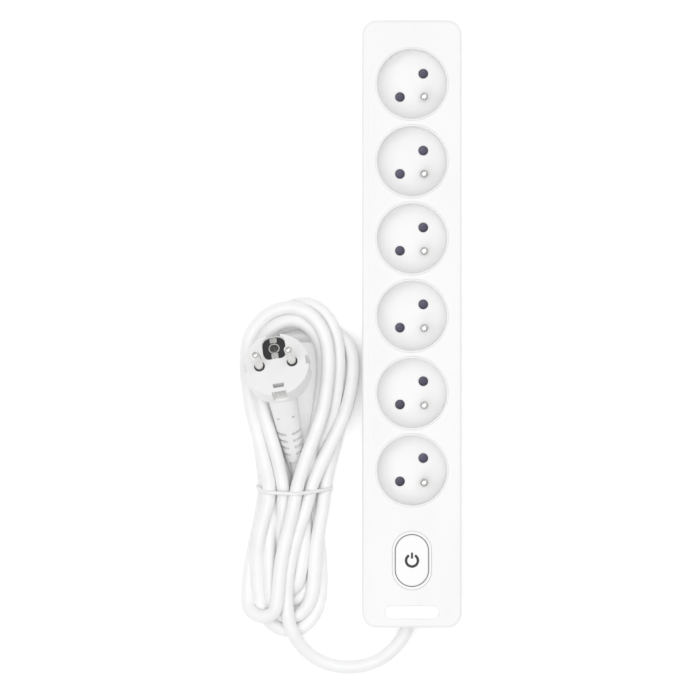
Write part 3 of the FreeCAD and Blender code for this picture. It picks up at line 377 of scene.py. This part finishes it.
def hull(points):
    """The corners of the tightest convex outline, anticlockwise."""
    points = sorted(points)

    def chain(ordered):
        kept = []
        for x, z in ordered:
            while len(kept) > 1:
                (ax, az), (bx, bz) = kept[-2:]
                if (bx - ax) * (z - az) - (bz - az) * (x - ax) > 0:
                    break
                kept.pop()
            kept.append((x, z))
        return kept[:-1]

    return chain(points) + chain(points[::-1])


def strap_outline():
    """Where the strap goes, round every strand that crosses its leaning plane."""
    edge = []
    side = beads[:, 1] - TIE_Y + (beads[:, 2] - STRAP_Z) * math.tan(STRAP_LEAN)
    for one, two, before, after in zip(beads, beads[1:], side, side[1:]):
        if before * after > 0 or abs(before - after) < 1e-9:
            continue
        x, _, z = one + (two - one) * before / (before - after)
        for turn in np.linspace(0, 2 * math.pi, CORD_SIDES, endpoint=False):
            edge.append((x + CORD_RADIUS * math.cos(turn), z + CORD_RADIUS * math.sin(turn)))
    return hull(edge)


def strap_mesh():
    """A band with a slightly crowned section, swept round the outline."""
    outline = np.array(strap_outline())
    closed = np.vstack([outline, outline[:1]])
    gaps = np.linalg.norm(np.diff(closed, axis=0), axis=1)
    along = np.concatenate([[0], np.cumsum(gaps)])
    even = np.linspace(0, along[-1], STRAP_STATIONS, endpoint=False)
    xs = np.interp(even, along, closed[:, 0])
    zs = np.interp(even, along, closed[:, 1])
    mesh = bmesh.new()
    rings = []
    profile = [(-1, 0), (-0.8, 1), (0.8, 1), (1, 0), (0.8, -0.3), (-0.8, -0.3)]
    ways_x = np.roll(xs, -1) - np.roll(xs, 1)
    ways_z = np.roll(zs, -1) - np.roll(zs, 1)
    for x, z, way_x, way_z in zip(xs, zs, ways_x, ways_z):
        size = math.hypot(way_x, way_z)
        out = (way_z / size, -way_x / size)
        ring = []
        for wide, thick in profile:
            px = x + out[0] * STRAP_THICK * thick
            pz = max(z + out[1] * STRAP_THICK * thick, 0.05)
            py = TIE_Y - (pz - STRAP_Z) * math.tan(STRAP_LEAN) + wide * STRAP_BAND / 2
            ring.append(mesh.verts.new((px * MM, py * MM, pz * MM)))
        rings.append(ring)
    for one, two in zip(rings, rings[1:] + rings[:1]):
        for a in range(len(profile)):
            b = (a + 1) % len(profile)
            mesh.faces.new((one[a], one[b], two[b], two[a]))
    bmesh.ops.recalc_face_normals(mesh, faces=mesh.faces)
    data = bpy.data.meshes.new("strap")
    mesh.to_mesh(data)
    mesh.free()
    data.shade_smooth()
    return data


strap = bpy.data.objects.new("strap", strap_mesh())
scene.collection.objects.link(strap)
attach(strap, "housing")
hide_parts("hank_tie")
nylon = Finish("strap nylon", (0.9, 0.9, 0.9), 0.3)
ribbed = nylon.noise(900, 2.0, (1, 0.2, 1))
nylon.set("Base Color", nylon.tint(nylon.noise(120).step(0.4, 0.7), (0.86, 0.86, 0.86)))
nylon.bump(ribbed, 0.00005)
dress(nylon, strap, nodes["hank_tie"])

# ---- Plug's insert ----
# A black thermoplastic disc holds the earth tube and closes the mould round it. The earth clip
# shows as two nickel tabs on it. A thin black ring at the foot of each pin is painted shade: it
# stands in for the shadow in a recess round the pin.
INSERT_WIDTH, INSERT_CORNER = 13.2, 3.2
INSERT_PLACE = (0, 10)
EARTH_HOLE = 2.75
INSERT_LEVELS = (-1.2, -0.7)
PIN_PLACES = ((9.5, 0), (-9.5, 0))
# The black rings at the pins' feet are painted shade for the shadow in a recess round each pin,
# not a part.
PIN_SHADE_RING_HOLE, PIN_SHADE_RING_RADIUS = 2.42, 3.1
PIN_SHADE_RING_LEVELS = (-0.02, 0.22)
TUBE_HOLE, TUBE_RADIUS = 2.6, 3.15
TUBE_LEVELS = (-0.75, -0.6)
TAB_ENDS = ((3.6, 6.8), (13.6, 16.4))
TAB_WIDTH, TAB_THICK, TAB_LEVEL = 4, 0.3, -0.6
TAB_EDGE = 0.1
RING_SIDES = 48


def on_plug(x, y, z):
    return Vector(PLUG_FACE + PLUG_AXES @ np.array([x, y, z])) * MM


def rounded_square(turn):
    """A point on the insert's outline, at that angle from its middle."""
    across, up = math.cos(turn), math.sin(turn)
    power = 2 * INSERT_WIDTH / (INSERT_WIDTH - 1.6 * INSERT_CORNER)
    size = (abs(across) ** power + abs(up) ** power) ** (-1 / power) * INSERT_WIDTH / 2
    return size * across, size * up


def circle(radius):
    return lambda turn: (radius * math.cos(turn), radius * math.sin(turn))


def ring(mesh, centre, inner, outline, low, high):
    """A flat washer between a round hole and an outline, in the plug's own frame."""
    turns = [2 * math.pi * k / RING_SIDES for k in range(RING_SIDES)]
    corners = []
    for turn in turns:
        ox, oy = outline(turn)
        ix, iy = inner * math.cos(turn), inner * math.sin(turn)
        loop = ((ix, iy, low), (ox, oy, low), (ox, oy, high), (ix, iy, high))
        places = [on_plug(centre[0] + x, centre[1] + y, z) for x, y, z in loop]
        corners.append([mesh.verts.new(place) for place in places])
    for one, two in zip(corners, corners[1:] + corners[:1]):
        for a in range(4):
            b = (a + 1) % 4
            mesh.faces.new((one[a], two[a], two[b], one[b]))


def finished(mesh, name, body):
    """Turns the faces outwards and makes the mesh an object that rides on its body."""
    bmesh.ops.recalc_face_normals(mesh, faces=mesh.faces)
    data = bpy.data.meshes.new(name)
    mesh.to_mesh(data)
    mesh.free()
    made = bpy.data.objects.new(name, data)
    scene.collection.objects.link(made)
    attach(made, body)
    return made


insert_mesh = bmesh.new()
ring(insert_mesh, INSERT_PLACE, EARTH_HOLE, rounded_square, *INSERT_LEVELS)
# Thin black rings at the pins' feet: painted shade, in place of the shadow in a recess round each
# pin.
for place in PIN_PLACES:
    ring(insert_mesh, place, PIN_SHADE_RING_HOLE, circle(PIN_SHADE_RING_RADIUS), *PIN_SHADE_RING_LEVELS)
insert = finished(insert_mesh, "plug_insert_and_pin_shade_rings", "housing")

tab_mesh = bmesh.new()
ring(tab_mesh, INSERT_PLACE, TUBE_HOLE, circle(TUBE_RADIUS), *TUBE_LEVELS)
for low, high in TAB_ENDS:
    for vert in bmesh.ops.create_cube(tab_mesh, size=1)["verts"]:
        x, y, z = vert.co
        y = (low + high) / 2 + y * (high - low)
        vert.co = on_plug(x * TAB_WIDTH, y, TAB_LEVEL + z * TAB_THICK)
bmesh.ops.bevel(
    tab_mesh, geom=tab_mesh.edges[:], offset=TAB_EDGE * MM, segments=2, affect="EDGES",
)
tabs = finished(tab_mesh, "earth_tabs", "housing")

black = moulded("switch phenolic", (0.02, 0.02, 0.022), 0.5, 2400, 0.00002, shade=1.5)
# The insert is black plastic. Its rings at the pins' feet are painted shade in the same black.
dress(black, insert)


def metal(name, base, roughness, brushing, per_metre, stain):
    """Plated or bare metal: draw marks along one way, fine scratches and dull patches."""
    made = Finish(name, base, roughness, 1.0)
    marks = made.noise(per_metre, 3.0, brushing)
    patches = made.noise(180, 3.0)
    made.set("Base Color", made.tint(patches.step(0.45, 0.75), stain))
    made.set("Roughness", marks.step(0.3, 0.7) * 0.18 + patches * 0.12 + (roughness - 0.12))
    made.bump(marks, 0.00001)
    return made


nickel = metal("nickel plate", (0.8, 0.795, 0.78), 0.24, (1, 1, 0.12), 1600, (0.66, 0.65, 0.63))
dress(nickel, tabs)

# ---- Plug, its metal parts and the gland ----
# The plug is white PVC moulded over two nickel-plated pins and the earth contact. The gland, of
# the same PVC, is shut between the two halves of the housing where the lead leaves it.
plug_plastic = moulded("plug PVC", (0.88, 0.88, 0.88), 0.4, 2200, 0.000015)
dress(plug_plastic, nodes["plug_body"], nodes["cord_gland"])
dress(nickel, nodes["plug_pins"], nodes["plug_earth_contact"])

# ---- Housing ----
# Two moulded halves in matt white ABS, screwed together from below, with a ring of the same
# plastic clipped in round the button.
cover = moulded("housing ABS", (0.9, 0.9, 0.9), 0.42, 2600, 0.000012)
dress(cover, nodes["bottom_cover"], nodes["top_cover"], nodes["button_bezel"])

# ---- Sockets ----
# Cups of white polycarbonate let into the top, each round a nickel-plated earth pin.
SOCKETS = range(1, 7)
cup = moulded("socket polycarbonate", (0.9, 0.9, 0.9), 0.36, 3200, 0.000008)
dress(cup, *(nodes[f"socket_cup_{n}"] for n in SOCKETS))
dress(nickel, *(nodes[f"earth_pin_{n}"] for n in SOCKETS))

# ---- Button and badge ----
# A glossy cap with its symbol moulded in black through it, and a blank glossy plate glued into
# a recess at the lead's end.
button = moulded("button gloss", (0.9, 0.9, 0.9), 0.2, 3600, 0.000003, Coat_Weight=0.3)
dress(button, nodes["button_cap"])
symbol = moulded("symbol ink", (0.012, 0.012, 0.013), 0.45, 3000, 0.000006, shade=1.4)
dress(symbol, nodes["power_symbol"])
badge = moulded("badge gloss", (0.93, 0.93, 0.93), 0.14, 3600, 0.000002, Coat_Weight=0.5)
dress(badge, nodes["badge_plate"])

# ---- Shutters ----
# Dark sliders that close the pin holes, each in a natural nylon carrier under its cup. The
# switch's plunger and the cord clamp are moulded in the same nylon.
shutter = moulded("shutter thermoplastic", (0.1, 0.09, 0.14), 0.5, 2800, 0.00001, shade=1.3)
dress(shutter, *(nodes[f"shutter_{n}"] for n in SOCKETS))
carrier = moulded("carrier nylon", (0.7, 0.67, 0.6), 0.45, 1800, 0.00002)
dress(carrier, *(nodes[f"shutter_guide_{n}"] for n in SOCKETS))
dress(carrier, nodes["switch_plunger"], nodes["cable_clamp"])

# ---- Switch, busbars and screws ----
# The switch's case is black phenolic. Bridges, terminals and busbars are stamped brass, and
# zinc-plated steel screws hold the two halves and the clamp.
dress(black, nodes["switch_body"], nodes["switch_lid"])
brass = metal("stamped brass", (0.72, 0.52, 0.24), 0.34, (1, 0.08, 1), 1400, (0.5, 0.33, 0.13))
dress(brass, *(nodes[n] for n in ("live_busbar", "neutral_busbar", "earth_busbar")))
dress(brass, nodes["contact_bridge"], nodes["switch_terminals"])
steel = metal("zinc-plated steel", (0.6, 0.61, 0.63), 0.36, (1, 1, 1), 1500, (0.45, 0.46, 0.48))
dress(steel, nodes["cover_screws"], nodes["clamp_screws"])

# ---- Springs ----
# Zinc-plated steel wire wound with closed ends. One lifts the switch's yoke, and one behind each
# socket's slider keeps its holes shut. Each stands between two seats.
SWITCH_SPRING = {"Coil Radius": 2.3, "Wire Radius": 0.3, "Turns": 6.0, "Length": 12.9}
SHUTTER_SPRING = {"Coil Radius": 0.8, "Wire Radius": 0.175, "Turns": 6.0, "Length": 8.65}
END_PLAY = 0.05
STEPS_A_TURN, WIRE_SIDES = 26, 10
SWITCH_SEAT, SWITCH_TRAVEL = (0, -135.5, 7.6), 3
FIRST_SOCKET, SOCKET_PITCH, SLIDER_LEVEL = -83.9, 44.3, 19.4
SHUTTER_SEAT, SHUTTER_TRAVEL = 13.6, 6
SLIDER_WAY = Vector((-1, 1, 0)).normalized()


def spring_tree():
    """Winds a wire round a helix whose pitch closes up towards both ends."""
    tree = bpy.data.node_groups.new("spring", "GeometryNodeTree")
    for name in ("Coil Radius", "Wire Radius", "Turns", "Length"):
        tree.interface.new_socket(name, in_out="INPUT", socket_type="NodeSocketFloat")
    tree.interface.new_socket("Wire", in_out="INPUT", socket_type="NodeSocketMaterial")
    tree.interface.new_socket("Geometry", in_out="OUTPUT", socket_type="NodeSocketGeometry")
    sizes = tree.nodes.new("NodeGroupInput").outputs

    def add(kind, inputs, output=0, **settings):
        made = tree.nodes.new(kind)
        for name, value in settings.items():
            setattr(made, name, value)
        for key, value in inputs.items():
            if isinstance(value, bpy.types.NodeSocket):
                tree.links.new(value, made.inputs[key])
            else:
                made.inputs[key].default_value = value
        return made.outputs[output]

    helix = add("GeometryNodeCurveSpiral", {
        "Resolution": STEPS_A_TURN, "Rotations": sizes["Turns"], "Height": sizes["Length"],
        "Start Radius": sizes["Coil Radius"], "End Radius": sizes["Coil Radius"],
    })
    place = tree.nodes.new("ShaderNodeSeparateXYZ")
    tree.links.new(add("GeometryNodeInputPosition", {}), place.inputs[0])
    rise = add("ShaderNodeMapRange", {
        "Value": place.outputs["Z"], "From Max": sizes["Length"], "To Max": sizes["Length"],
    }, interpolation_type="SMOOTHSTEP")
    x, y = place.outputs["X"], place.outputs["Y"]
    closed = add("ShaderNodeCombineXYZ", {"X": x, "Y": y, "Z": rise})
    helix = add("GeometryNodeSetPosition", {"Geometry": helix, "Position": closed})
    section = add("GeometryNodeCurvePrimitiveCircle", {
        "Resolution": WIRE_SIDES, "Radius": sizes["Wire Radius"],
    })
    wire = add("GeometryNodeCurveToMesh", {
        "Curve": helix, "Profile Curve": section, "Fill Caps": True,
    })
    wire = add("GeometryNodeSetShadeSmooth", {"Geometry": wire})
    wire = add("GeometryNodeRealizeInstances", {"Geometry": wire})
    wire = add("GeometryNodeSetMaterial", {"Geometry": wire, "Material": sizes["Wire"]})
    tree.links.new(wire, tree.nodes.new("NodeGroupOutput").inputs["Geometry"])
    return tree


winding = spring_tree()


def spring(node, sizes, seat, way):
    """A spring that stands on its seat along its way, at a fixed length."""
    made = bpy.data.objects.new(f"{node}_wire", bpy.data.meshes.new(node))
    scene.collection.objects.link(made)
    maker = made.modifiers.new("winding", "NODES")
    maker.node_group = winding
    inputs = {item.name: item.identifier for item in winding.interface.items_tree}
    for name, value in sizes.items():
        maker[inputs[name]] = value * (1 if name == "Turns" else MM)
    maker[inputs["Wire"]] = steel.material
    graph = bpy.context.evaluated_depsgraph_get()
    wound = bpy.data.meshes.new_from_object(made.evaluated_get(graph))
    made.modifiers.remove(maker)
    foot = Vector(seat) + way * (sizes["Wire Radius"] + END_PLAY)
    upright = Vector((0, 0, 1)).rotation_difference(way).to_matrix().to_4x4()
    wound.transform(Matrix.Translation(foot * MM) @ upright)
    made.data = wound
    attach(made, "housing")
    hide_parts(node)
    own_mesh(made)


UP = Vector((0, 0, 1))
spring("switch_spring", SWITCH_SPRING, SWITCH_SEAT, UP)
for n in SOCKETS:
    middle = Vector((0, FIRST_SOCKET + (n - 1) * SOCKET_PITCH, SLIDER_LEVEL))
    seat = middle + SLIDER_WAY * SHUTTER_SEAT
    spring(
        f"shutter_spring_{n}", SHUTTER_SPRING, seat, -SLIDER_WAY,
    )
dress(steel, nodes["switch_spring"], *(nodes[f"shutter_spring_{n}"] for n in SOCKETS))

# ---- Feet ----
# Dark rubber plugs pressed into the underside, dull and a little dusty.
rubber = Finish("foot rubber", (0.22, 0.22, 0.225), 0.75)
dust = rubber.noise(700, 4.0)
rubber.set("Base Color", rubber.tint(dust.step(0.5, 0.8), (0.36, 0.36, 0.36)))
rubber.bump(dust, 0.00006)
dress(rubber, nodes["rubber_feet"])


# ---- Cores ----
# PVC-insulated copper between the lead, the switch and the busbars. The earth core is green with
# a yellow stripe.


def insulation(name, base, other=None):
    made = Finish(name, base, 0.4)
    haze = made.noise(300, 3.0)
    colour = made.tint(haze.step(0.4, 0.8), tuple(part * 0.8 for part in base))
    if other:
        band = made.noise(60, 0.0)
        colour = made.tint(band.step(0.49, 0.51), other, colour)
    made.set("Base Color", colour)
    made.bump(haze, 0.00003)
    return made


dress(insulation("brown core", (0.13, 0.045, 0.015)), nodes["wires_live"])
dress(insulation("blue core", (0.02, 0.1, 0.5)), nodes["wires_neutral"])
dress(insulation("earth core", (0.1, 0.4, 0.06), (0.8, 0.75, 0.05)), nodes["wire_earth"])

# ---- Floor and light ----
# A white table under one broad soft light from the upper left and a pale room all round.
FLOOR_SIZE = 6
LIGHTS = (
    ("key", (-0.3, -0.2, 1.8), 1.8, 17.2),
    ("fill", (0.7, 0.8, 1.6), 1.4, 4.3),
)
LIT_MIDDLE = Vector((-0.03, 0, 0))
ROOM_LIGHT = 0.55

floor_mesh = bmesh.new()
bmesh.ops.create_grid(floor_mesh, x_segments=2, y_segments=2, size=FLOOR_SIZE)
floor_data = bpy.data.meshes.new("floor")
floor_mesh.to_mesh(floor_data)
floor_mesh.free()
floor = bpy.data.objects.new("floor", floor_data)
scene.collection.objects.link(floor)
table_top = Finish("table", (0.95, 0.95, 0.95), 0.9)
table_top.set("Emission Color", (1, 1, 1, 1)).set("Emission Strength", 0.2)
clouds = table_top.noise(3).step(0.4, 0.6)
table_top.set("Base Color", table_top.tint(clouds, (0.945, 0.945, 0.945)))
dress(table_top, floor)

world = bpy.data.worlds.new("room")
scene.world = world
world.use_nodes = True
room = world.node_tree.nodes["Background"].inputs
room["Color"].default_value = (1, 1, 1, 1)
room["Strength"].default_value = ROOM_LIGHT

for name, place, size, power in LIGHTS:
    light_data = bpy.data.lights.new(name, "AREA")
    light_data.size = size
    light_data.energy = power
    light = bpy.data.objects.new(name, light_data)
    light.location = place
    aim = (LIT_MIDDLE - Vector(place)).to_track_quat("-Z", "Y")
    light.rotation_euler = aim.to_euler()
    scene.collection.objects.link(light)

scene.view_settings.view_transform = "Standard"
scene.view_settings.look = "None"
